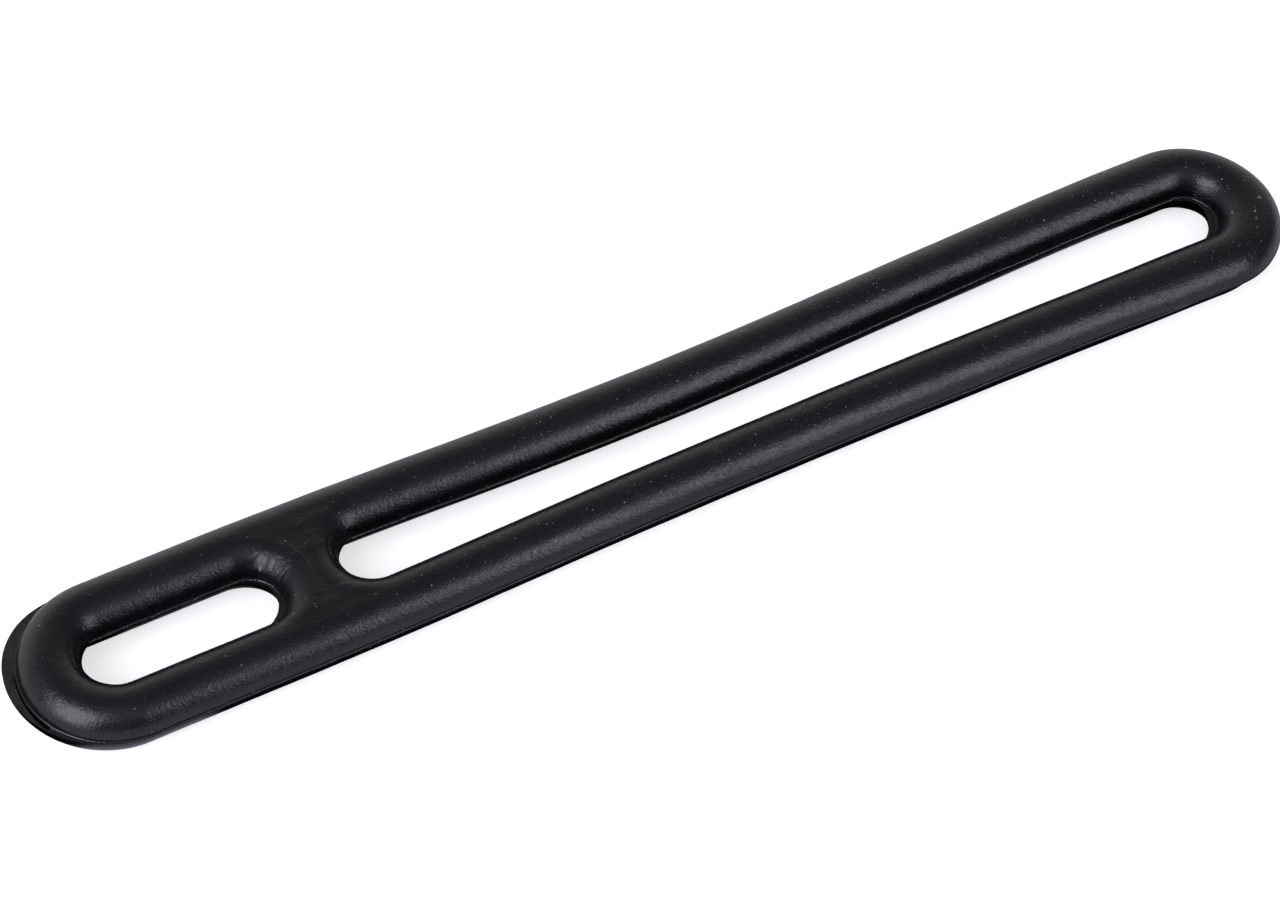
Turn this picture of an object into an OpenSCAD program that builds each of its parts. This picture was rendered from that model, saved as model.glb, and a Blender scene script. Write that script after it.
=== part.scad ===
// Pull strap of a rubber draw latch, moulded in one piece of soft black rubber.
// The short loop stays on the anchor pin. The long loop is stretched over the keeper hook.
// X runs along the strap with the long loop at +X, Z is up, and the strap lies on z = 0.
// All sizes are in millimetres.

/* [Strap] */
// Length of the upper half over its two round ends
strap_length = 200; // [160:1:260]
// Diameter of the rope-like section
rope_d = 8.4; // [6.5:0.1:10]
// Clear width of both slots at their round ends
slot_width = 9.5; // [8:0.1:14]
// Clear length of the short slot, for the anchor
short_slot = 29.5; // [24:0.5:40]
// Width of the web between the two slots, measured along the strap
web_width = 9.3; // [9:0.1:14]
// Depth of the web's flat faces below the crown of the rope
web_drop = 0.25; // [0.15:0.05:1]

/* [Waist] */
// Distance that each rail draws in at the waist of the long slot
waist_draw = 1.2; // [0.4:0.1:2.2]
// Straight run of the rails from the round end of the short loop
anchor_run = 17; // [10:0.5:19]
// Straight run of the rails up to the round end of the long loop
keeper_run = 7; // [5:0.5:20]

/* [Moulding] */
// Offset of the lower mould half towards the short loop
mould_shift = 1.6; // [0.4:0.1:3]
// Distance that the flash stands out along the parting line
flash_out = 0.3; // [0.1:0.05:0.6]
// Thickness of the flash
flash_t = 0.4; // [0.2:0.05:0.8]

/* [Hidden] */

round_fn = 72;      // facets round a full circle, in views only
bend_fn = 2400;     // the same for the rails' very large bends
ring_thin = 0.1;    // the ropes round the inner slot ends are this much thinner than the rails

rope_r = rope_d / 2;
ring_r = rope_r - ring_thin;
loop_r = (slot_width + rope_d) / 2;             // centreline of the rope round the ends

// Each rail is drawn in by four equal bends. Their radius and angle are rounded, and the
// places below follow from the rounded values, so that the bends meet face to face.
bow_length = strap_length - 2 * (loop_r + rope_r) - anchor_run - keeper_run;
bow_rough = 2 * atan(waist_draw / 2 / (bow_length / 4));
bow_angle = round(bow_rough * 1e5) / 1e5;
bow_r = round(bow_length / 4 / sin(bow_rough) * 100) / 100;
bow_quarter = bow_r * sin(bow_angle);
bow_depth = 2 * bow_r * (1 - cos(bow_angle));   // waist_draw, to the rounding above

// places along the strap, with the upper half's own middle at x = 0
waist_x = (anchor_run - keeper_run) / 2;
bow_start = waist_x - 2 * bow_quarter;
bow_end = waist_x + 2 * bow_quarter;
x_anchor = bow_start - anchor_run;              // centres of the round ends of the upper half
x_keeper = bow_end + keeper_run;

// distance of a rail's centreline from the strap's axis at a given x
function bow_sag(run) = bow_r - sqrt(bow_r * bow_r - run * run);
function rail_y(x) =
    x <= bow_start || x >= bow_end ? loop_r :
    x < bow_start + bow_quarter ? loop_r - bow_sag(x - bow_start) :
    x > bow_end - bow_quarter ? loop_r - bow_sag(bow_end - x) :
    loop_r - bow_depth + bow_sag(x - waist_x);

// slot ends on both sides of the web
x_short_end = x_anchor + short_slot - slot_width;
short_end_r = rail_y(x_short_end);
x_web_end = x_short_end + short_end_r - ring_r + web_width;
x_long_end = x_web_end + rail_y(x_web_end + slot_width / 2) - ring_r;
long_end_r = rail_y(x_long_end);

// Moves to a place in two steps, to the hundredth and then the rest: an exported matrix
// keeps six digits of a number, and one step would leave a hair's gap between the bends.
module at(x, y) {
    near_x = round(x * 100) / 100;
    near_y = round(y * 100) / 100;
    translate([near_x, near_y, 0]) translate([x - near_x, y - near_y, 0]) children();
}

// section of the rope with its flash, lying in XY about the origin
module section(r) {
    circle(r = r, $fn = round_fn);
    square([2 * (r + flash_out), flash_t], center = true);
}

// the part of that section above the parting plane
module half_section(r) {
    intersection() {
        section(r);
        translate([-2 * r, 0]) square([4 * r, 2 * r]);
    }
}

// full section swept from a place along +X, bending by bow_angle towards +Y
module bend(x, y) {
    at(x, y)
        translate([0, bow_r, 0])
            rotate([0, 0, -90])
                rotate_extrude(angle = bow_angle, $fn = bend_fn)
                    translate([bow_r, 0]) section(rope_r);
}

// full section swept straight from a place along +X
module run(x, y, length) {
    at(x, y)
        rotate([90, 0, 90])
            linear_extrude(height = length) section(rope_r);
}

// upper half of the section swept straight from a place along +X
module half_run(x, y, length) {
    at(x, y)
        rotate([90, 0, 90])
            linear_extrude(height = length) half_section(rope_r);
}

// upper half of the section swept round the half circle that bulges towards +X
module half_turn(x, radius, r) {
    at(x, 0)
        rotate([0, 0, -90])
            rotate_extrude(angle = 180, $fn = round_fn)
                translate([radius, 0]) half_section(r);
}

// the same, bulging towards -X
module half_turn_back(x, radius, r) {
    mirror([1, 0, 0]) half_turn(-x, radius, r);
}

// one rail, full round, as far as both mould halves share it
module rail() {
    run(x_anchor, loop_r, anchor_run);
    mirror([0, 1, 0]) bend(bow_start, -loop_r);
    mirror([1, 0, 0]) bend(-waist_x, loop_r - bow_depth);
    bend(waist_x, loop_r - bow_depth);
    mirror([1, 0, 0]) mirror([0, 1, 0]) bend(-bow_end, -loop_r);
    run(bow_end, loop_r, keeper_run - mould_shift);
}

// the web and the ropes round its two slot ends, above the parting plane
module web_half() {
    half_turn(x_short_end, short_end_r, ring_r);
    half_turn_back(x_long_end, long_end_r, ring_r);
    linear_extrude(height = rope_r - web_drop)
        difference() {
            translate([x_short_end, -long_end_r])
                square([x_long_end - x_short_end, 2 * long_end_r]);
            translate([x_short_end, 0]) circle(r = short_end_r, $fn = round_fn);
            translate([x_long_end, 0]) circle(r = long_end_r, $fn = round_fn);
        }
}

// the round ends of the upper mould half
module upper_ends() {
    half_turn_back(x_anchor, loop_r, rope_r);
    for (side = [-1, 1]) half_run(x_keeper - mould_shift, side * loop_r, mould_shift);
    half_turn(x_keeper, loop_r, rope_r);
}

// the round ends of the lower mould half, drawn above the parting plane
module lower_ends() {
    half_turn_back(x_anchor - mould_shift, loop_r, rope_r);
    for (side = [-1, 1]) half_run(x_anchor - mould_shift, side * loop_r, mould_shift);
    half_turn(x_keeper - mould_shift, loop_r, rope_r);
}

module strap() {
    color("#1c1c1f")
        translate([mould_shift / 2, 0, rope_r])
            union() {
                rail();
                mirror([0, 1, 0]) rail();
                upper_ends();
                web_half();
                mirror([0, 0, 1]) lower_ends();
                mirror([0, 0, 1]) translate([-mould_shift, 0, 0]) web_half();
            }
}

strap();
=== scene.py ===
import math

import bmesh
import bpy
import numpy as np
from mathutils import Matrix, Vector, noise


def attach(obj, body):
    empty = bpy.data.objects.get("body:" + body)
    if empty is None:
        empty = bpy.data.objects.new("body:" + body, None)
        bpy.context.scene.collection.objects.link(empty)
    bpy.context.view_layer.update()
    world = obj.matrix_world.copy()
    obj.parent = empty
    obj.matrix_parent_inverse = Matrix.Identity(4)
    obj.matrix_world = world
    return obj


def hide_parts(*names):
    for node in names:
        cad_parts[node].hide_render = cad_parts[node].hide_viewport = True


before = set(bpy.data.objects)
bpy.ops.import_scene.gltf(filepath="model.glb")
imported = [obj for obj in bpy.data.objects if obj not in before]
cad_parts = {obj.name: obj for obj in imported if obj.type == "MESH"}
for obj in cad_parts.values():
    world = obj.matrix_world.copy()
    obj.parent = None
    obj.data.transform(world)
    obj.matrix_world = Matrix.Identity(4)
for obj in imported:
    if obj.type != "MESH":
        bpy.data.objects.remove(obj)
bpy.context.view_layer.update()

# A rubber draw latch strap: one long loop of rope-like rubber, with a web that divides it into a
# short and a long slot. Its sizes are in millimetres, and its mesh is scaled to metres when it is
# made. A pair of places is a ramp: something starts at the first and is complete at the second.
# Four places are a band: it also starts to end at the third, and has ended at the fourth.

MM = 0.001

# Sizes of the strap, as in the CAD model
ROPE_R = 4.2            # radius of the round section
LOOP_R = 8.95           # slot axis to the rope's centre line, away from the waist
ANCHOR_X = -86.85       # centre of the short slot's outer end
KEEPER_X = 86.85        # centre of the long slot's outer end
SHORT_END_X = -66.85    # centre of the short slot's web end
LONG_END_X = -48.30     # centre of the long slot's web end
BOW_START = -69.85      # the rails draw in from here
BOW_END = 79.85         # to here
BOW_DEPTH = 1.2         # by this much at the waist
MOULD_SHIFT = 1.6       # the lower mould half lies this far towards the anchor end
MID_Z = 4.2             # height of the parting plane
WEB_DROP = 0.16         # how far the web's middle lies below the rope's crown
RING_DROP = 0.08        # the same along the slot ends' crowns, in the web

# Sizes of the finer forms that only this scene has
END_SKEW = 0.35         # the lower mould half lies this far sideways at the round ends
FLASH_OUTSIDE = 0.19    # how far the flash line stands out round the strap
FLASH_IN_SLOTS = 0.40   # and in the slots


# Centre line

SLOPE_STEP = 1e-3       # a rail's slope is measured over this step to each side


def smooth(edge0, edge1, v):
    """0 at edge0 and 1 at edge1, with a smooth ramp between them."""
    t = np.clip((v - edge0) / (edge1 - edge0), 0.0, 1.0)
    return t * t * (3 - 2 * t)


def rail_y(x):
    """Slot axis to the rail's centre line: straight, then four equal bends in and out."""
    quarter = (BOW_END - BOW_START) / 4
    bow_r = (quarter ** 2 + (BOW_DEPTH / 2) ** 2) / BOW_DEPTH
    t = np.abs(x - (BOW_START + BOW_END) / 2)
    inner = bow_r - np.sqrt(bow_r ** 2 - np.clip(t, 0, quarter) ** 2)
    outer = bow_r - np.sqrt(bow_r ** 2 - np.clip(2 * quarter - t, 0, quarter) ** 2)
    return np.where(t <= quarter, LOOP_R - BOW_DEPTH + inner, LOOP_R - outer)


SHORT_END_R = float(rail_y(np.array(SHORT_END_X)))
LONG_END_R = float(rail_y(np.array(LONG_END_X)))


class Path:
    """A closed centre line of rails and half circles. The slot or the outside is on its right.

    Its parts are ("rail", side, 0, x from, x to, columns)
    or ("arc", centre x, radius, angle from, angle to, columns).
    """

    def __init__(self, parts, end_shift, flash):
        self.parts = parts
        self.flash = flash
        self.end_shift = end_shift
        self.starts = [0.0]
        columns = []
        for kind, _, radius, first, last, count in parts:
            length = abs(last - first) if kind == "rail" else abs(math.radians(last - first)) * radius
            columns += [self.starts[-1] + length * i / count for i in range(count)]
            self.starts.append(self.starts[-1] + length)
        self.length = self.starts[-1]
        self.columns = np.array(columns)

    def at(self, s):
        """Points and unit normals, both n by 2, at the places s."""
        s = np.mod(s, self.length)
        points = np.zeros((len(s), 2))
        normals = np.zeros((len(s), 2))
        for (kind, place, radius, first, last, _), lo, hi in zip(self.parts, self.starts, self.starts[1:]):
            m = (s >= lo) & (s < hi)
            t = (s[m] - lo) / (hi - lo)
            way = 1.0 if last > first else -1.0
            if kind == "rail":
                x = first + (last - first) * t
                points[m] = np.stack([x, place * rail_y(x)], 1)
                slope = place * (rail_y(x + SLOPE_STEP) - rail_y(x - SLOPE_STEP)) / (2 * SLOPE_STEP)
                tangent = np.stack([np.full_like(x, way), way * slope], 1)
                tangent /= np.linalg.norm(tangent, axis=1)[:, None]
            else:
                ang = np.radians(first + (last - first) * t)
                points[m] = np.stack([place + radius * np.cos(ang), radius * np.sin(ang)], 1)
                tangent = np.stack([-np.sin(ang) * way, np.cos(ang) * way], 1)
            normals[m] = np.stack([tangent[:, 1], -tangent[:, 0]], 1)
        return points, normals


# Columns of the mesh along each kind of part
END_COLS = 72
SHORT_COLS = 34
WEB_COLS = 32
LONG_COLS = 160

# end_shift is how far the lower half stands out at the round ends, along X and along Y.
OUTER = Path([
    ("rail", -1, 0, ANCHOR_X, SHORT_END_X, SHORT_COLS),
    ("rail", -1, 0, SHORT_END_X, LONG_END_X, WEB_COLS),
    ("rail", -1, 0, LONG_END_X, KEEPER_X, LONG_COLS),
    ("arc", KEEPER_X, LOOP_R, -90, 90, END_COLS),
    ("rail", 1, 0, KEEPER_X, LONG_END_X, LONG_COLS),
    ("rail", 1, 0, LONG_END_X, SHORT_END_X, WEB_COLS),
    ("rail", 1, 0, SHORT_END_X, ANCHOR_X, SHORT_COLS),
    ("arc", ANCHOR_X, LOOP_R, 90, 270, END_COLS),
], end_shift=(-0.10, 0.85), flash=FLASH_OUTSIDE)
SHORT_SLOT = Path([
    ("rail", 1, 0, ANCHOR_X, SHORT_END_X, SHORT_COLS),
    ("arc", SHORT_END_X, SHORT_END_R, 90, -90, END_COLS),
    ("rail", -1, 0, SHORT_END_X, ANCHOR_X, SHORT_COLS),
    ("arc", ANCHOR_X, LOOP_R, 270, 90, END_COLS),
], end_shift=(0.94, 0.0), flash=FLASH_IN_SLOTS)
LONG_SLOT = Path([
    ("rail", 1, 0, LONG_END_X, KEEPER_X, LONG_COLS),
    ("arc", KEEPER_X, LOOP_R, 90, -90, END_COLS),
    ("rail", -1, 0, KEEPER_X, LONG_END_X, LONG_COLS),
    ("arc", LONG_END_X, LONG_END_R, 270, 90, END_COLS),
], end_shift=(0.50, 0.35), flash=FLASH_IN_SLOTS)


# Section

UPPER_STEPS = 34        # rows from the crown down to the flash line
LOWER_STEPS = 20        # rows from the parting plane down to the lower crown
CROWN_STEPS = 1.35      # the upper rows lie closer together near the crown
VALLEY = 7.0            # section angle, in degrees, where the groove above the flash line starts

# The groove and the flash line: mm out, share of the flash's height out, mm above the parting plane
FLASH_PROFILE = [
    (-0.030, 0.00, 0.640),
    (-0.150, 0.00, 0.515),
    (-0.185, 0.03, 0.405),
    (-0.090, 0.16, 0.352),
    (0.0, 0.36, 0.338),
    (0.0, 0.52, 0.325),
    (0.0, 0.66, 0.300),
    (0.0, 0.79, 0.262),
    (0.0, 0.90, 0.210),
    (0.0, 0.97, 0.150),
    (0.0, 1.00, 0.070),
    (0.0, 0.97, 0.0),
]

# The step beside the flash line: mm out where it is wide, share of its width elsewhere, depth in mm
STEP_PROFILE = [
    (0.02, 0.10, 0.22),
    (0.10, 0.25, 0.62),
    (0.40, 0.40, 0.34),
    (0.66, 0.55, 0.01),
]

# Places along X
KEEPER_TURN = (84, 94)          # the keeper end's curve
ANCHOR_TURN = (-88, -95)        # the anchor end's curve
FLASH_END = (70, 80)            # the outer flash line runs out here

# Places round the section, by the parts of the normal along X and Y
FRONT_WALL = (0.3, 0.95)        # walls that face -Y
OVERHANG = (0.05, 0.6)          # the upper half hangs over the lower one
LIP = (0.3, 0.8)                # the lower half stands out, at the anchor end

# How much wider than high the section is, to each side
STOUT_ALL = 0.04
STOUT_RAILS = 0.08
STOUT_RAILS_X = (0, 60)
STOUT_KEEPER = 0.36
STOUT_KEEPER_Y = (5, -4)
STOUT_ANCHOR = 0.14

# How the strap lies: a slow bend sideways, and the rails a little closer together at one place
LIE_ALL = -0.15
DIP = 0.28
DIP_START_X = (-75, -20)
DIP_END_X = (0, 38)
RISE = 0.42
RISE_X = (15, 75)
RETURN = 0.28
RETURN_X = (78, 100)
PINCH = 0.20
PINCH_X = 55
PINCH_REACH = 14

# The web
RAMP_OUT = 0.5                  # it starts this far outside each slot end's centre
RAMP_IN = 4                     # and is level this far inside
WEB_RING_Y = (4.0, 8.6)         # it rises to the rails' crowns between these places to each side
WEB_MIDDLE_Y = (5.0, 8.6)
WEB_MIDDLE_SHARE = 0.35         # share of its length over which its middle comes and goes

# The flash line's height varies by these shares, in waves and nicks at these rates a mm, each
# from its own level of the noise
LIP_FLASH = 0.6                 # share of the flash's height on the outer lip
FLASH_WAVE = 0.28
FLASH_WAVE_RATE = 0.30
FLASH_WAVE_LEVEL = 3.1
FLASH_NICK = 0.22
FLASH_NICK_RATE = 1.3
FLASH_NICK_LEVEL = 7.7

# The fold on the shoulders: where it runs round each slot, in degrees from +X, and where it
# lies in the section, in degrees from the parting plane
FOLD_START = (132, 150)
FOLD_END = (192, 206)
FOLD_ANGLE = 50
FOLD_SINK = 7
FOLD_SINK_OVER = (150, 195)
FOLD_DEPTH = 0.085
FOLD_WIDTH = 2.6
SWELL_HEIGHT = 0.05
SWELL_WIDTH = 9.0
SWELL_OFFSET = 13

# How far the halves lie apart on the walls that face -Y
OUTSIDE_OVER = 0.42
OUTSIDE_OVER_X = (64, 80)
SLOT_OVER = 0.12
SLOT_BACK = 0.52
SLOT_BACK_X = (-25, 48)
SLOT_RETURN = 0.10
SLOT_RETURN_X = (48, 70)

# The step outside is sunk where it is wide: by one share round the anchor end, and by the other
# share more on the side that faces -Y
WIDE_STEP = (0.55, 1.0)         # mm
LEAST_STEP = 0.5                # mm
END_SHARE = 0.35
END_SHARE_OVER = (-0.42, 0.0)
FRONT_SHARE = 0.65
FRONT_SHARE_OVER = (0.0, 0.6)

# Search for the lower half's edge
SEARCH_SPAN = 3.2
HALVINGS = 40

# Slow unevenness of the moulding: depths in mm, and waves a mm along X and across
SWAY = 0.030
SWAY_ALONG = 0.11
SWAY_ACROSS = 0.16
RIPPLE = 0.012
RIPPLE_ALONG = 0.42
RIPPLE_ACROSS = 0.5
RIPPLE_OFFSET = 9
FLOOR_SHARE = 0.15              # share of the unevenness where the strap touches the floor
FLOOR_SHARE_Z = 0.1
FLOOR_SHARE_RISE = 1.5

MERGE_DISTANCE = 2e-7           # m, for points of two strips that meet
LEAST_EDGE = 1e-8               # m, for edges without length
SHARP_ANGLE = 38                # degrees


def stout(points):
    """How much wider than its height the section is, to each side."""
    x, y = points[:, 0], points[:, 1]
    keeper_end = smooth(*KEEPER_TURN, x) * smooth(*STOUT_KEEPER_Y, y)
    anchor_end = smooth(*ANCHOR_TURN, x)
    rails = STOUT_ALL + STOUT_RAILS * smooth(*STOUT_RAILS_X, x)
    return rails + STOUT_KEEPER * keeper_end + STOUT_ANCHOR * anchor_end


def settle(x, y):
    """Where the points lie along Y: the strap isn't quite straight, and its rails draw in a little."""
    dip = smooth(*DIP_START_X, x) * (1 - smooth(*DIP_END_X, x))
    bend = LIE_ALL - DIP * dip + RISE * smooth(*RISE_X, x) - RETURN * smooth(*RETURN_X, x)
    pinch = PINCH * np.exp(-((x - PINCH_X) / PINCH_REACH) ** 2)
    return y + bend - pinch * np.clip(y / LOOP_R, -1, 1)


def web_depth(points):
    """How far the crown at these points lies below the rope's crown, in the web."""
    x, y = points[:, 0], points[:, 1]
    inside = smooth(SHORT_END_X - RAMP_OUT, SHORT_END_X + RAMP_IN, x)
    inside = inside * (1 - smooth(LONG_END_X - RAMP_IN, LONG_END_X + RAMP_OUT, x))
    return RING_DROP * inside * (1 - smooth(*WEB_RING_Y, np.abs(y)))


def place_lower(path, s, normals, edge):
    """Where the lower half's edge lies beside each point of the upper half's edge."""
    lo = s - SEARCH_SPAN
    hi = s + SEARCH_SPAN
    for _ in range(HALVINGS):
        mid = (lo + hi) / 2
        p, n = path.at(mid)
        q = p + n * ROPE_R - edge
        q[:, 0] -= MOULD_SHIFT / 2
        tangent = np.stack([-normals[:, 1], normals[:, 0]], 1)
        ahead = (q * tangent).sum(1) > 0
        hi = np.where(ahead, mid, hi)
        lo = np.where(ahead, lo, mid)
    return (lo + hi) / 2


def flash_height(points, normals, path):
    """The flash stands out where both halves meet, and not where the upper half hangs over."""
    over = smooth(*OVERHANG, normals[:, 0])
    lip = smooth(*LIP, -normals[:, 0]) * (LIP_FLASH if path is OUTER else 0.0)
    fade = smooth(*FLASH_END, points[:, 0]) * (1.0 if path is OUTER else 0.0)
    out = []
    for (x, y), keep in zip(points, (1 - over) * (1 - fade) + lip):
        wave = noise.noise(Vector((x * FLASH_WAVE_RATE, y * FLASH_WAVE_RATE, FLASH_WAVE_LEVEL)))
        nick = noise.noise(Vector((x * FLASH_NICK_RATE, y * FLASH_NICK_RATE, FLASH_NICK_LEVEL)))
        out.append(path.flash * keep * (1.0 + FLASH_WAVE * wave + FLASH_NICK * nick))
    return np.array(out)


def crease(path, points, normals, angle):
    """A faint fold on the upper half's shoulder at the anchor side of each slot."""
    if path is OUTER:
        return np.zeros(len(points))
    ang = np.degrees(np.arctan2(-normals[:, 1], -normals[:, 0]))
    ang = np.mod(ang, 360)
    run = smooth(*FOLD_START, ang) * (1 - smooth(*FOLD_END, ang))
    centre = FOLD_ANGLE - FOLD_SINK * smooth(*FOLD_SINK_OVER, ang)
    fold = np.exp(-((angle - centre) / FOLD_WIDTH) ** 2)
    swell = np.exp(-((angle - centre + SWELL_OFFSET) / SWELL_WIDTH) ** 2)
    return run * (-FOLD_DEPTH * fold + SWELL_HEIGHT * swell)


def recess(path, points, normals):
    """How far the upper half lies back from the lower one on the walls that face -Y: below 0 on
    the outside near the keeper end, where it stands out, and mostly above 0 in the long slot."""
    x = points[:, 0]
    wall = smooth(*FRONT_WALL, -normals[:, 1])
    if path is OUTER:
        return -OUTSIDE_OVER * smooth(*OUTSIDE_OVER_X, x) * (1 - smooth(*KEEPER_TURN, x)) * wall
    if path is SHORT_SLOT:
        return 0.0
    back = -SLOT_OVER + SLOT_BACK * smooth(*SLOT_BACK_X, x) - SLOT_RETURN * smooth(*SLOT_RETURN_X, x)
    return back * wall


def step_rows(path, inner, outer, normals):
    """The flat step at the parting plane, with a narrow sunk line beside the flash where it is wide."""
    across = outer - inner
    width = (across[:, :2] * normals).sum(1)
    wide = smooth(*WIDE_STEP, width) * (path is OUTER)
    side = FRONT_SHARE * smooth(*FRONT_SHARE_OVER, -normals[:, 1])
    near = END_SHARE + side
    sunk = (END_SHARE * smooth(*END_SHARE_OVER, -normals[:, 1]) + side) * wide
    rows = []
    for place, share, depth in STEP_PROFILE:
        t = share + (place * near / np.maximum(width, LEAST_STEP) - share) * wide
        row = inner + across * t[:, None]
        row[:, 2] = -depth * sunk
        rows.append(row)
    return rows


def upper_rows(path, points, normals, wide):
    """Rows from the upper crown to the flash line's edge at the parting plane."""
    depth = web_depth(points)
    rows = []
    for i in range(UPPER_STEPS + 1):
        ang = 90 + (VALLEY - 90) * (i / UPPER_STEPS) ** CROWN_STEPS
        a = math.radians(ang)
        r = ROPE_R + crease(path, points, normals, ang)
        xy = points + normals * ((r + wide) * math.cos(a))[:, None]
        z = (r - depth) * math.sin(a)
        rows.append(np.column_stack([xy[:, 0] + MOULD_SHIFT / 2, xy[:, 1], z]))
    high = flash_height(points, normals, path)
    groove = np.clip(high / path.flash, 0, 1)
    for fixed, out, z in FLASH_PROFILE:
        r = math.sqrt(ROPE_R ** 2 - z ** 2) + wide + fixed * groove + out * high
        xy = points + normals * r[:, None]
        rows.append(np.column_stack([xy[:, 0] + MOULD_SHIFT / 2, xy[:, 1], np.full(len(points), z)]))
    return rows


def lower_rows(path, s, low, wide):
    """Rows from the lower half's edge at the parting plane to the lower crown."""
    rows = []
    for i in range(LOWER_STEPS + 1):
        t = i / LOWER_STEPS
        a = math.radians(90 * t)
        blend = t * t * (3 - 2 * t)
        q, m = path.at(low + (s - low) * blend)
        xy = q + m * ((ROPE_R + wide) * math.cos(a))[:, None]
        z = -(ROPE_R - web_depth(q)) * math.sin(a)
        proud = np.clip(-m[:, 0], 0, 1) * math.cos(a)
        out_x = path.end_shift[0] * proud
        out_y = path.end_shift[1] * proud + END_SKEW * np.abs(m[:, 0]) * math.cos(a)
        rows.append(np.column_stack([xy[:, 0] - MOULD_SHIFT / 2 + out_x, xy[:, 1] + out_y, z]))
    return rows


def strip(path):
    """Rows of points from the upper crown over the flash line to the lower crown."""
    s = path.columns
    p, n = path.at(s)
    wide = stout(p)
    upper = upper_rows(path, p, n, wide - recess(path, p, n))
    low = place_lower(path, s, n, upper[-1][:, :2])
    lower = lower_rows(path, s, low, wide)
    return np.array(upper + step_rows(path, upper[-1], lower[0], n) + lower)


def web_patch(side):
    """The web between the two slot ends, as rows across it; side 1 is the top and -1 the underside."""
    rows = []
    for j in range(END_COLS + 1):
        a = math.radians(-90 + 180 * j / END_COLS)
        left = np.array([SHORT_END_X + SHORT_END_R * math.cos(a), SHORT_END_R * math.sin(a)])
        right = np.array([LONG_END_X - LONG_END_R * math.cos(a), LONG_END_R * math.sin(a)])
        t = np.arange(WEB_COLS + 1) / WEB_COLS
        xy = left + (right - left) * t[:, None]
        if j in (0, END_COLS):
            xy[:, 0] = SHORT_END_X + (LONG_END_X - SHORT_END_X) * t
            xy[:, 1] = rail_y(xy[:, 0]) * math.sin(a)
        middle = (WEB_DROP - RING_DROP) * smooth(0, WEB_MIDDLE_SHARE, t) * smooth(0, WEB_MIDDLE_SHARE, 1 - t)
        middle = middle * (1 - smooth(*WEB_MIDDLE_Y, np.abs(xy[:, 1])))
        z = (ROPE_R - web_depth(xy) - middle) * side
        rows.append(np.column_stack([xy[:, 0] + side * MOULD_SHIFT / 2, xy[:, 1], z]))
    return np.array(rows)


def roughen(bm):
    """Slow unevenness of the moulding, less than a hair deep."""
    for v in bm.verts:
        c = v.co / MM
        across = SWAY_ACROSS
        d = SWAY * noise.noise(Vector((c.x * SWAY_ALONG, c.y * across, c.z * across)))
        across = RIPPLE_ACROSS
        d += RIPPLE * noise.noise(Vector((c.x * RIPPLE_ALONG, c.y * across, c.z * across + RIPPLE_OFFSET)))
        rise = min(1.0, max(0.0, (c.z - FLOOR_SHARE_Z) / FLOOR_SHARE_RISE))
        share = FLOOR_SHARE + (1 - FLOOR_SHARE) * rise
        v.co = v.co + v.normal * (d * share * MM)


def build_strap():
    """One closed mesh of the three strips and the web's two faces."""
    verts = []
    faces = []

    def add_grid(grid, closed, flip):
        base = len(verts)
        rows, cols = grid.shape[:2]
        verts.extend(grid.reshape(-1, 3).tolist())
        for i in range(rows - 1):
            for k in range(cols if closed else cols - 1):
                k2 = (k + 1) % cols
                quad = [base + i * cols + k, base + (i + 1) * cols + k,
                        base + (i + 1) * cols + k2, base + i * cols + k2]
                faces.append(quad[::-1] if flip else quad)

    for path in (OUTER, SHORT_SLOT, LONG_SLOT):
        add_grid(strip(path), True, False)
    add_grid(web_patch(1), False, True)
    add_grid(web_patch(-1), False, False)

    mesh = bpy.data.meshes.new("strap_rubber")
    spots = np.array(verts)
    spots[:, 1] = settle(spots[:, 0], spots[:, 1])
    spots[:, 2] += MID_Z
    mesh.from_pydata((spots * MM).tolist(), [], faces)
    bm = bmesh.new()
    bm.from_mesh(mesh)
    bmesh.ops.remove_doubles(bm, verts=bm.verts, dist=MERGE_DISTANCE)
    bmesh.ops.dissolve_degenerate(bm, dist=LEAST_EDGE, edges=bm.edges)
    bm.normal_update()
    roughen(bm)
    bm.to_mesh(mesh)
    bm.free()
    for poly in mesh.polygons:
        poly.use_smooth = True
    mesh.set_sharp_from_angle(angle=math.radians(SHARP_ANGLE))
    return mesh


# Material

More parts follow.
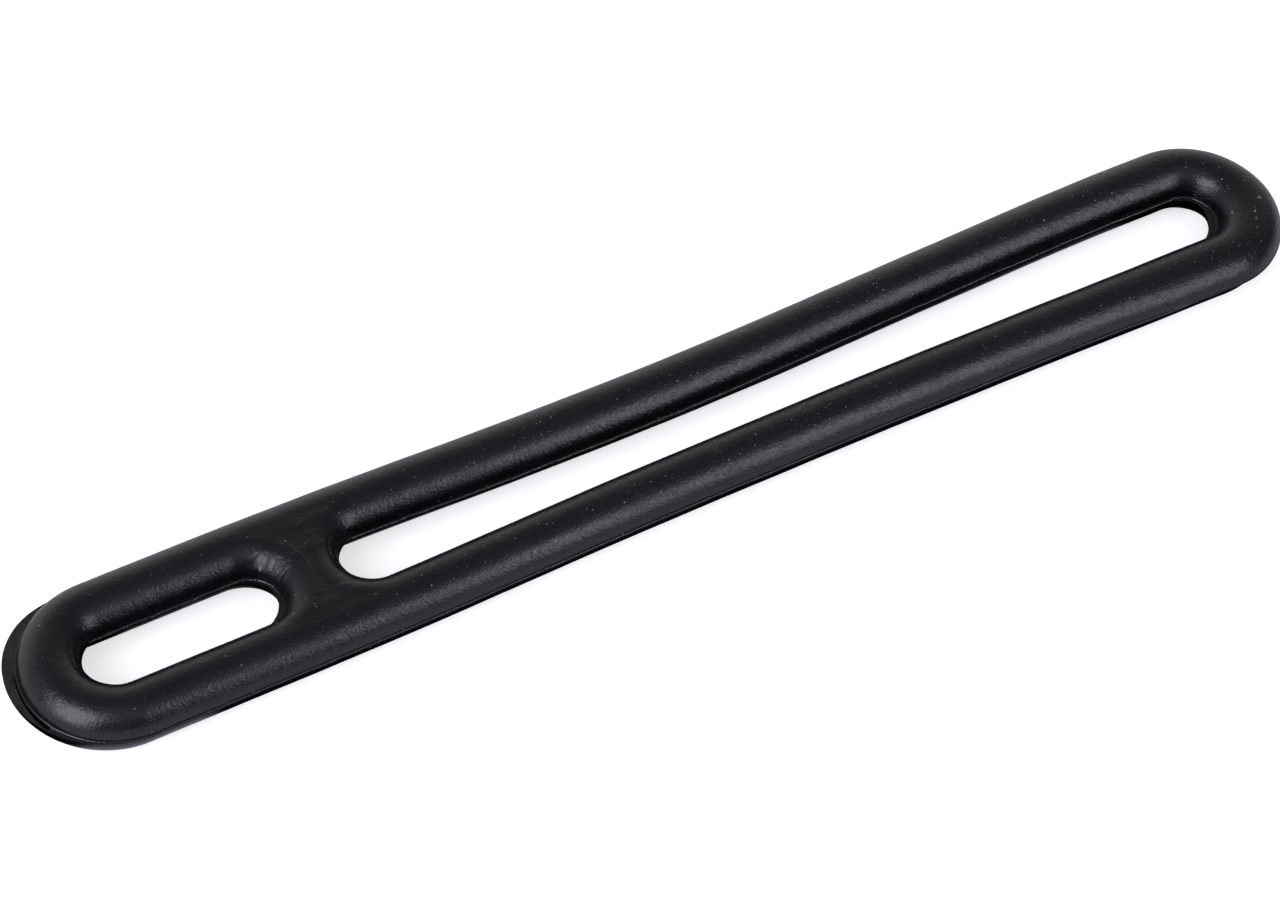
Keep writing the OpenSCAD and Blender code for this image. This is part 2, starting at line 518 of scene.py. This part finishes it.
class Graph:
    """A short way to add nodes."""

    def __init__(self, tree):
        self.tree = tree
        self.tree.nodes.clear()

    def node(self, kind, **settings):
        n = self.tree.nodes.new(kind)
        for key, value in settings.items():
            setattr(n, key, value)
        return n

    def put(self, socket, value):
        """Link a socket to the input, or set the input to a value; None leaves it as it is."""
        if isinstance(value, bpy.types.NodeSocket):
            self.tree.links.new(value, socket)
        elif value is not None:
            socket.default_value = value

    def fill(self, kind, inputs, **settings):
        """A node with its inputs put by name or number."""
        n = self.node(kind, **settings)
        for key, value in inputs.items():
            self.put(n.inputs[key], value)
        return n

    def math(self, op, a, b=None, c=None):
        return self.fill("ShaderNodeMath", {0: a, 1: b, 2: c}, operation=op).outputs[0]

    def times(self, first, *others):
        for other in others:
            first = self.math("MULTIPLY", first, other)
        return first

    def ramp(self, value, from_min, from_max, to_min=0.0, to_max=1.0):
        inputs = {"Value": value, "From Min": from_min, "From Max": from_max,
                  "To Min": to_min, "To Max": to_max}
        return self.fill("ShaderNodeMapRange", inputs, interpolation_type="SMOOTHSTEP").outputs["Result"]

    def band(self, value, rise_from, rise_to, fall_from, fall_to):
        """1 between rise_to and fall_from, and 0 outside the other two."""
        return self.times(self.ramp(value, rise_from, rise_to), self.ramp(value, fall_to, fall_from))

    def noise(self, vector, scale, detail, rough, output="Fac"):
        inputs = {"Vector": vector, "Scale": scale, "Detail": detail, "Roughness": rough}
        return self.fill("ShaderNodeTexNoise", inputs).outputs[output]

    def noise_1d(self, value, detail):
        inputs = {"W": value, "Scale": 1.0, "Detail": detail}
        return self.fill("ShaderNodeTexNoise", inputs, noise_dimensions="1D").outputs["Fac"]

    def cells(self, vector, scale):
        """Distance to the middle of the nearest cell, and three random values of that cell."""
        n = self.fill("ShaderNodeTexVoronoi", {"Vector": vector, "Scale": scale}, feature="F1")
        parts = self.fill("ShaderNodeSeparateColor", {"Color": n.outputs["Color"]}).outputs
        return n.outputs["Distance"], parts["Red"], parts["Green"], parts["Blue"]

    def coordinate(self, name):
        return self.node("ShaderNodeTexCoord").outputs[name]

    def split(self, vector):
        parts = self.fill("ShaderNodeSeparateXYZ", {0: vector}).outputs
        return parts["X"], parts["Y"], parts["Z"]

    def scaled(self, vector, scale):
        return self.fill("ShaderNodeMapping", {"Vector": vector, "Scale": scale}).outputs["Vector"]

    def mix(self, factor, a, b):
        inputs = {"Factor": factor, "A": a, "B": b}
        return self.fill("ShaderNodeMix", inputs, data_type="RGBA").outputs["Result"]


# Colours of the rubber
DARK = (0.0022, 0.0022, 0.0030, 1)
PALER = (0.0062, 0.0060, 0.0078, 1)
# Painted shade: the lower half is darker than the upper half's flecked tone
LOWER_HALF_SHADE = (0.0020, 0.0020, 0.0024, 1)
# Painted shade on the slots' walls near the parting plane
SLOT_WALL_SHADE = (0.0008, 0.0008, 0.0011, 1)
LEDGE = (0.0062, 0.0053, 0.0058, 1)
TORN_DARK = (0.0032, 0.0028, 0.0030, 1)
TORN_PALE = (0.0180, 0.0150, 0.0162, 1)
DUST = (0.36, 0.36, 0.38, 1)
TORN_NICK = (0.16, 0.15, 0.17, 1)

# Noises: waves a mm, detail and roughness
GRAIN = (2.9, 2.0, 0.6)
COARSE = (0.9, 3.0, 0.55)
BLOTCH = (0.13, 3.0, 0.55)
TEARS = (0.9, 4.0, 0.7)
DUST_DRIFT = (0.10, 1.0, 0.5)
RAGGED = (2.2, 2.0, 0.5)
STREAKS = (0.55, 0.0, 0.5)
WAVES = (0.30, 0.0, 0.5)
NARROW_RANGE = (0.35, 0.65)     # most of a slow noise lies between these
WIDE_RANGE = (0.3, 0.7)         # and most of a finer one between these

# The grain and the streaks are longer along the strap.
GRAIN_STRETCH = (0.8, 1.0, 1.0)
FLECK_STRETCH = (0.62, 1.0, 1.0)
FLECK_SCALE = 4.2               # cells a mm
STREAK_STRETCH = (0.35, 1.2, 1.0)

# The step along the parting plane
LEDGE_HALF = 0.035              # the step's faces lie this near the plane
TORN_X = (-88.0, -94.0)         # it is torn at the anchor end's tip
TORN_Y = (-9.0, -3.0)

# Painted shade on the slots' walls
WALL_SHADE_SHARE = 0.75
WALL_SHADE_Z = (MID_Z + 2.8, MID_Z + 0.4)
WALL_SHADE_Y = (9.2, 8.2)

# Dust
DUST_SCALE = 1.6                # cells a mm
DUST_THIN = 0.35                # share of the cells where there is least
DUST_X = (-48.0, -30.0)         # the long slot's rails have more than the web
DUST_SHARE_X = (0.3, 0.9)       # share on the web, and share on the rails
DUST_UP = (0.55, 0.95)          # by the normal's part along Z
DUST_SHARE_UP = (0.05, 1.0)     # share on the sides, and share on top
DUST_SIZE = 0.085               # radius, as a share of a cell
DUST_SIZE_MORE = 0.10
DUST_BRIGHT = 0.15
DUST_BRIGHT_MORE = 0.7

# Scratches left by the mould: angles in radians, distances in mm
RAYS_X = -66.05                 # rays run out from here, round the short slot's web end
RAYS_RATE = 10.0
RAYS_LEVEL = (0.50, 0.68)
RAYS_ANGLE = (0.05, 0.15, 0.60, 0.80)
RAYS_R = (4.9, 5.3, 6.4, 7.2)
ARCS_X = 87.65                  # arcs run round here, at the long slot's outer end
ARCS_RATE = 8.0
ARCS_LEVEL = (0.48, 0.66)
ARCS_ANGLE = (0.25, 0.45, 0.80, 1.0)
ARCS_R = (4.8, 4.95, 5.40, 5.70)

# Nicks: x, y and radius in mm
NICKS = [
    (97.4, -3.2, 0.30),
    (92.6, -3.3, 0.26),
    (95.2, -5.2, 0.22),
    (94.6, -6.4, 0.20),
    (93.6, -7.9, 0.24),
    (89.4, -9.7, 0.16),
    (-62.6, 3.7, 0.22),
]
NICK_WANDER = 1.1               # mm that their edges wander
NICK_CORE = 0.6                 # share of the radius that is full
NICK_PALE = 0.9

# The flash line: heights above the parting plane of its cut, dull rim and of its smooth crest
RIM = (0.03, 0.05, 0.11, 0.19)
RIM_DULL = -0.45
CREST = (0.18, 0.22, 0.30, 0.34)
CREST_GLOSS = 0.15
GLOSS = 0.50
BARE_Z = (0.46, 0.34)           # round the keeper end the edge itself is dull
BARE_X = (83.0, 90.0)
BARE_R = 10.0

# Roughness: its least and most over slow blotches, and what the rest adds or takes off
BLOTCH_ROUGH = (0.23, 0.29)
COARSE_ROUGH = 0.03
FLECK_ROUGH = 0.065
LOWER_ROUGH = -0.5              # a share
LEDGE_ROUGH = 0.4
RUBBER_IOR = 1.5

# Relief: heights as shares of the bump's distance, which is in metres
BUMP_DISTANCE = 0.000060
COARSE_HEIGHT = 0.7
SPECK_HEIGHT = 1.2
SCRATCH_HEIGHT = -1.5
NICK_HEIGHT = 1.6
WEB_X = (-66.0, -61.0, -52.0, -46.0)
WEB_Y = (-8.5, -6.5, 6.5, 8.5)
WAVE_HEIGHT = 3.0
STREAK_HEIGHT = 0.9
STREAK_LEVEL = (0.58, 0.74)


def new_material(name):
    """A material with an empty graph and its output node."""
    mat = bpy.data.materials.new(name)
    mat.use_nodes = True
    g = Graph(mat.node_tree)
    return mat, g, g.node("ShaderNodeOutputMaterial")


def hypotenuse(g, a, b):
    return g.math("SQRT", g.math("ADD", g.math("POWER", a, 2.0), g.math("POWER", b, 2.0)))


def polar(g, x, y, centre_x):
    """Angle and distance from a point on the strap's long axis."""
    along = g.math("SUBTRACT", x, centre_x)
    return g.math("ARCTAN2", y, along), hypotenuse(g, along, y)


def dust_specks(g, mm, x):
    """Small dots in some of the cells, and how bright each one is."""
    distance, pick, vary, shine = g.cells(mm, DUST_SCALE)
    facing = g.split(g.coordinate("Normal"))[2]
    drift = g.ramp(g.noise(mm, *DUST_DRIFT), *NARROW_RANGE, DUST_THIN, 1.0)
    drift = g.times(drift, g.ramp(x, *DUST_X, *DUST_SHARE_X), g.ramp(facing, *DUST_UP, *DUST_SHARE_UP))
    chosen = g.math("LESS_THAN", pick, drift)
    size = g.math("MULTIPLY_ADD", g.math("POWER", vary, 2.0), DUST_SIZE_MORE, DUST_SIZE)
    speck = g.times(g.math("LESS_THAN", distance, size), chosen)
    return speck, g.times(speck, g.math("MULTIPLY_ADD", shine, DUST_BRIGHT_MORE, DUST_BRIGHT))


def mould_scratches(g, x, y, arcs_at, arc_r, upper):
    """Rays round the short slot's web end, and arcs round the long slot's outer end."""
    rays_at, ray_r = polar(g, x, y, RAYS_X)
    rays = g.ramp(g.noise_1d(g.times(rays_at, RAYS_RATE), 2.0), *RAYS_LEVEL)
    rays = g.times(rays, g.band(rays_at, *RAYS_ANGLE), g.band(ray_r, *RAYS_R))
    arcs = g.ramp(g.noise_1d(g.times(arc_r, ARCS_RATE), 2.0), *ARCS_LEVEL)
    arcs = g.times(arcs, g.band(arcs_at, *ARCS_ANGLE), g.band(arc_r, *ARCS_R))
    return g.times(g.math("ADD", rays, arcs), upper)


def torn_nicks(g, mm, upper):
    """A few nicks in the upper side, with ragged edges."""
    wander = g.noise(mm, *RAGGED, output="Color")
    inputs = {0: wander, 1: (NICK_WANDER, NICK_WANDER, 0), 2: g.scaled(mm, (1, 1, 0))}
    ragged = g.fill("ShaderNodeVectorMath", inputs, operation="MULTIPLY_ADD").outputs[0]
    nicks = 0.0
    for x, y, radius in NICKS:
        # The noise is 0.5 on average, so each nick's middle goes half of the wander along.
        inputs = {0: ragged, 1: (x + NICK_WANDER / 2, y + NICK_WANDER / 2, 0)}
        gap = g.fill("ShaderNodeVectorMath", inputs, operation="DISTANCE").outputs["Value"]
        nicks = g.math("MAXIMUM", nicks, g.ramp(gap, radius, radius * NICK_CORE))
    return g.times(nicks, upper)


def torn_ledge(g, mm, x, y):
    """The step along the parting plane is dull, and torn at the anchor end's tip."""
    tears = g.ramp(g.noise(mm, *TEARS), *WIDE_RANGE)
    at_tip = g.times(g.ramp(x, *TORN_X), g.ramp(y, *TORN_Y))
    return g.mix(at_tip, LEDGE, g.mix(tears, TORN_DARK, TORN_PALE))


def web_relief(g, mm, x, y, height):
    """The web's face is wavy, with a few streaks along the strap."""
    web = g.times(g.band(x, *WEB_X), g.band(y, *WEB_Y))
    streak = g.ramp(g.noise(g.scaled(mm, STREAK_STRETCH), *STREAKS), *STREAK_LEVEL)
    wavy = g.math("MULTIPLY_ADD", streak, STREAK_HEIGHT, g.times(g.noise(mm, *WAVES), WAVE_HEIGHT))
    return g.math("MULTIPLY_ADD", wavy, web, height)


def flash_gloss(g, x, z, arc_r):
    """Specular level: the rim of the flash is cut and dull, and its crest is smooth."""
    rim = g.band(z, *(MID_Z + height for height in RIM))
    crest = g.band(z, *(MID_Z + height for height in CREST))
    # Round the keeper end, where the flash runs out, the edge itself is dull and a little higher.
    round_end = g.times(g.ramp(x, *BARE_X), g.math("GREATER_THAN", arc_r, BARE_R))
    bare = g.times(g.ramp(z, *(MID_Z + height for height in BARE_Z)), round_end)
    rim = g.math("MAXIMUM", rim, bare)
    return g.math("MULTIPLY_ADD", rim, RIM_DULL, g.math("MULTIPLY_ADD", crest, CREST_GLOSS, GLOSS))


def rubber_material():
    mat, g, out = new_material("rubber_black")
    shader = g.node("ShaderNodeBsdfPrincipled")
    g.put(out.inputs["Surface"], shader.outputs["BSDF"])
    mm = g.scaled(g.coordinate("Object"), (1 / MM, 1 / MM, 1 / MM))
    x, y, z = g.split(mm)
    upper = g.math("GREATER_THAN", z, MID_Z)
    under = g.math("LESS_THAN", z, MID_Z)
    ledge = g.math("LESS_THAN", g.math("ABSOLUTE", g.math("SUBTRACT", z, MID_Z)), LEDGE_HALF)
    arcs_at, arc_r = polar(g, x, y, ARCS_X)

    # Fine grain of the moulded surface, slower changes of it, and its faults
    grain = g.noise(g.scaled(mm, GRAIN_STRETCH), *GRAIN)
    fleck = g.cells(g.scaled(mm, FLECK_STRETCH), FLECK_SCALE)[1]
    coarse = g.noise(mm, *COARSE)
    blotch = g.noise(mm, *BLOTCH)
    speck, dust = dust_specks(g, mm, x)
    scratch = mould_scratches(g, x, y, arcs_at, arc_r, upper)
    nicks = torn_nicks(g, mm, upper)

    # Painted shade: below the parting plane the rubber takes the darker lower half colour.
    base = g.mix(under, g.mix(fleck, DARK, PALER), LOWER_HALF_SHADE)
    # Painted shade: the slots' walls are darker towards the parting plane, where the shade between the rails
    # falls.
    wall = g.times(g.ramp(z, *WALL_SHADE_Z), g.ramp(g.math("ABSOLUTE", y), *WALL_SHADE_Y))
    base = g.mix(g.times(wall, WALL_SHADE_SHARE), base, SLOT_WALL_SHADE)
    base = g.mix(ledge, base, torn_ledge(g, mm, x, y))
    colour = g.mix(dust, base, DUST)
    g.put(shader.inputs["Base Color"], g.mix(g.times(nicks, NICK_PALE), colour, TORN_NICK))

    rough = g.ramp(blotch, *NARROW_RANGE, *BLOTCH_ROUGH)
    rough = g.math("ADD", rough, g.ramp(coarse, *WIDE_RANGE, -COARSE_ROUGH, COARSE_ROUGH))
    rough = g.math("ADD", rough, g.math("MULTIPLY_ADD", fleck, -2 * FLECK_ROUGH, FLECK_ROUGH))
    rough = g.times(rough, g.math("MULTIPLY_ADD", under, LOWER_ROUGH, 1.0))
    g.put(shader.inputs["Roughness"], g.math("MULTIPLY_ADD", ledge, LEDGE_ROUGH, rough))
    g.put(shader.inputs["IOR"], RUBBER_IOR)
    g.put(shader.inputs["Specular IOR Level"], flash_gloss(g, x, z, arc_r))

    height = g.math("MULTIPLY_ADD", coarse, COARSE_HEIGHT, grain)
    height = g.math("ADD", height, g.times(speck, SPECK_HEIGHT))
    height = g.math("MULTIPLY_ADD", scratch, SCRATCH_HEIGHT, height)
    height = web_relief(g, mm, x, y, height)
    height = g.math("MULTIPLY_ADD", nicks, NICK_HEIGHT, height)
    bump = g.fill("ShaderNodeBump", {"Strength": 1.0, "Distance": BUMP_DISTANCE, "Height": height})
    g.put(shader.inputs["Normal"], bump.outputs["Normal"])
    return mat


strap = bpy.data.objects.new("strap_rubber", build_strap())
bpy.context.scene.collection.objects.link(strap)
strap.data.materials.append(rubber_material())
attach(strap, "root")
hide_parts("strap")


# Floor and backdrop

WHITE = (1, 1, 1, 1)
PAPER = (0.80, 0.80, 0.80, 1)
FLOOR_LIFT = 0.58       # how much the camera sees the paper lifted towards white
FLOOR_DROP = 0.02       # mm that the floor lies below z = 0, clear of the strap's lowest points
FLOOR_HALF = 3.0        # half the floor's side, in metres
FLOOR_CELLS = 8

# What the rubber's gloss sees of the floor, with a painted shadow under the strap that only gloss rays see:
# colours, and places in metres
PAINTED_SHADOW = (0.004, 0.004, 0.004, 1)
FRONT_PAPER = (0.63, 0.61, 0.68, 1)
BACK_PAPER = (0.62, 0.62, 0.60, 1)
BACK_PAPER_Y = (-0.005, 0.020)
OUTLINE_X = 0.0001      # middle of the strap's outline
OUTLINE_Y = -0.0003
OUTLINE_HALF = 0.0878   # half the length of its straight part
OUTLINE_R = (0.0154, 0.0174)
CORNER_X = (-0.0975, -0.0945, -0.0800, -0.0750)
CORNER_Y = (-0.0060, -0.0085)
CORNER_R = (0.0105, 0.0115, 0.0155, 0.0165)
SLOTS_X = (-0.0840, -0.0800, 0.0780, 0.0820)
SLOTS_Y = (-0.0032, -0.0014, 0.0014, 0.0032)
SLOTS_SHARE = 0.25
FAR_RAIL_Y = (0.0038, 0.0050, 0.0080, 0.0095)
FAR_RAIL_SHARE = 0.5


def open_floor(g, x, y):
    """1 where the gloss sees pale paper, and 0 where it sees the painted shadow under the strap."""
    past = g.math("SUBTRACT", g.math("ABSOLUTE", g.math("ADD", x, -OUTLINE_X)), OUTLINE_HALF)
    past = g.math("MAXIMUM", past, 0.0)
    away = hypotenuse(g, past, g.math("ADD", y, -OUTLINE_Y))
    clear = g.ramp(away, *OUTLINE_R)
    # The painted shadow is taken back at the anchor end's near corner, and thinned under the slots and
    # beside the far rail.
    corner = g.times(g.band(x, *CORNER_X), g.ramp(y, *CORNER_Y), g.band(away, *CORNER_R))
    slots = g.times(g.band(x, *SLOTS_X), g.band(y, *SLOTS_Y))
    far_rail = g.times(g.band(x, *SLOTS_X), g.band(y, *FAR_RAIL_Y))
    clear = g.math("MAXIMUM", clear, g.math("MAXIMUM", corner, g.times(slots, SLOTS_SHARE)))
    return g.math("MAXIMUM", clear, g.times(far_rail, FAR_RAIL_SHARE))


def paper_material():
    """Pale paper with the strap's shadow, white to the camera, and with a painted shadow under the strap
    that only gloss rays see.
    """
    mat, g, out = new_material("paper")
    seen = g.node("ShaderNodeLightPath")
    x, y, _ = g.split(g.coordinate("Object"))
    pale = g.mix(g.ramp(y, *BACK_PAPER_Y), FRONT_PAPER, BACK_PAPER)
    # Painted shadow: to gloss rays the paper under and just round the strap is nearly black.
    gloss = g.mix(open_floor(g, x, y), PAINTED_SHADOW, pale)
    colour = g.mix(seen.outputs["Is Glossy Ray"], PAPER, gloss)
    lift = g.times(seen.outputs["Is Camera Ray"], FLOOR_LIFT)
    diffuse = g.fill("ShaderNodeBsdfDiffuse", {"Color": colour})
    glow = g.fill("ShaderNodeEmission", {"Color": WHITE, "Strength": lift})
    both = g.fill("ShaderNodeAddShader", {0: diffuse.outputs[0], 1: glow.outputs[0]})
    g.put(out.inputs["Surface"], both.outputs[0])
    return mat


def add_floor():
    bm = bmesh.new()
    bmesh.ops.create_grid(bm, x_segments=FLOOR_CELLS, y_segments=FLOOR_CELLS, size=FLOOR_HALF)
    mesh = bpy.data.meshes.new("floor")
    bm.to_mesh(mesh)
    bm.free()
    mesh.materials.append(paper_material())
    floor = bpy.data.objects.new("floor", mesh)
    floor.location.z = -FLOOR_DROP * MM
    bpy.context.scene.collection.objects.link(floor)


add_floor()


# Lights

def direction(azimuth, elevation):
    """Unit vector; azimuth runs from -Y towards +X."""
    a = math.radians(azimuth)
    e = math.radians(elevation)
    return Vector((math.sin(a) * math.cos(e), -math.cos(a) * math.cos(e), math.sin(e)))


def softbox(name, azimuth, elevation, distance, width, height, radiance, colour):
    """An area light that faces the origin: angles in degrees, sizes in metres."""
    light = bpy.data.lights.new(name, "AREA")
    light.shape = "RECTANGLE"
    light.size = width
    light.size_y = height
    light.energy = radiance * math.pi * width * height
    light.color = colour
    obj = bpy.data.objects.new(name, light)
    way = direction(azimuth, elevation)
    obj.location = way * distance
    obj.rotation_euler = way.to_track_quat("Z", "Y").to_euler()
    bpy.context.scene.collection.objects.link(obj)


softbox("key_left", azimuth=-74, elevation=30, distance=1.3, width=0.94, height=1.24,
        radiance=4.2, colour=(0.905, 0.885, 0.985))
softbox("fill_right", azimuth=28, elevation=27, distance=1.3, width=0.50, height=0.94,
        radiance=3.2, colour=(0.87, 0.85, 1.0))

# The room that gloss sees: strengths, and places by the parts of the direction along X, Y and Z
BACKDROP = 0.90
BACKDROP_Y = (-0.15, 1.0)
BACKDROP_Z = (1.05, -0.10)
ROOM_Z = (0.05, 0.65)
ROOM = (0.03, 0.155)            # low down and high up
FRONT_LEFT = (-0.55, -0.83)
CEILING = 0.25
CEILING_FRONT = (-0.12, 0.22)
CEILING_Z = (0.40, 0.80)
ROOM_FRONT = (0.98, 0.95, 1.12, 1)
ROOM_BACK = (1.015, 1.0, 1.0, 1)
ROOM_BACK_FROM = (0.0, -0.8)

# The even light on matt surfaces
EVEN_COLOUR = (0.99, 0.98, 1.03, 1)
EVEN = 0.55


def add_world():
    """A dim room with a pale backdrop behind; an even soft light for matt surfaces; white to the camera."""
    world = bpy.data.worlds.new("studio")
    bpy.context.scene.world = world
    world.use_nodes = True
    g = Graph(world.node_tree)
    out = g.node("ShaderNodeOutputWorld")
    seen = g.node("ShaderNodeLightPath")
    x, y, z = g.split(g.coordinate("Generated"))
    backdrop = g.times(g.ramp(y, *BACKDROP_Y), g.ramp(z, *BACKDROP_Z))
    strength = g.math("MULTIPLY_ADD", backdrop, BACKDROP, g.ramp(z, *ROOM_Z, *ROOM))
    # A pale ceiling over the front left half
    front = g.math("MULTIPLY_ADD", x, FRONT_LEFT[0], g.times(y, FRONT_LEFT[1]))
    ceiling = g.times(g.ramp(front, *CEILING_FRONT), g.ramp(z, *CEILING_Z))
    strength = g.math("MULTIPLY_ADD", ceiling, CEILING, strength)
    colour = g.mix(g.ramp(front, *ROOM_BACK_FROM), ROOM_FRONT, ROOM_BACK)
    room = g.fill("ShaderNodeBackground", {"Color": colour, "Strength": strength})
    even = g.fill("ShaderNodeBackground", {"Color": EVEN_COLOUR, "Strength": EVEN})
    white = g.fill("ShaderNodeBackground", {"Color": WHITE})
    inputs = {0: seen.outputs["Is Glossy Ray"], 1: even.outputs[0], 2: room.outputs[0]}
    lit = g.fill("ShaderNodeMixShader", inputs)
    inputs = {0: seen.outputs["Is Camera Ray"], 1: lit.outputs[0], 2: white.outputs[0]}
    g.put(out.inputs["Surface"], g.fill("ShaderNodeMixShader", inputs).outputs[0])


add_world()


# Camera

CAM_AZIMUTH = -32.58    # from -Y towards +X, as for the lights
CAM_ELEVATION = 51.79
CAM_ROLL = 4.46
CAM_DISTANCE = 632.7    # mm
CAM_TARGET = (-5.398, -0.497, 4.2)
CAM_NEAR = 0.01         # m
CAM_FAR = 50.0          # m
FOCAL_PX = 4500
PHOTO_WIDTH = 1280
SENSOR = 36.0


def add_camera():
    """The camera at the photograph's viewing angle."""
    cam = bpy.data.cameras.new("camera")
    cam.sensor_fit = "HORIZONTAL"
    cam.sensor_width = SENSOR
    cam.lens = SENSOR * FOCAL_PX / PHOTO_WIDTH
    cam.clip_start = CAM_NEAR
    cam.clip_end = CAM_FAR
    back = direction(CAM_AZIMUTH, CAM_ELEVATION)
    right = Vector((math.cos(math.radians(CAM_AZIMUTH)), math.sin(math.radians(CAM_AZIMUTH)), 0))
    up = back.cross(right)
    roll = math.radians(CAM_ROLL)
    cam_x = right * math.cos(roll) + up * math.sin(roll)
    cam_y = up * math.cos(roll) - right * math.sin(roll)
    spot = (Vector(CAM_TARGET) + back * CAM_DISTANCE) * MM
    obj = bpy.data.objects.new("camera", cam)
    obj.matrix_world = Matrix((
        (cam_x.x, cam_y.x, back.x, spot.x),
        (cam_x.y, cam_y.y, back.y, spot.y),
        (cam_x.z, cam_y.z, back.z, spot.z),
        (0, 0, 0, 1),
    ))
    bpy.context.scene.collection.objects.link(obj)
    bpy.context.scene.camera = obj


add_camera()

bpy.context.scene.view_settings.view_transform = "Standard"
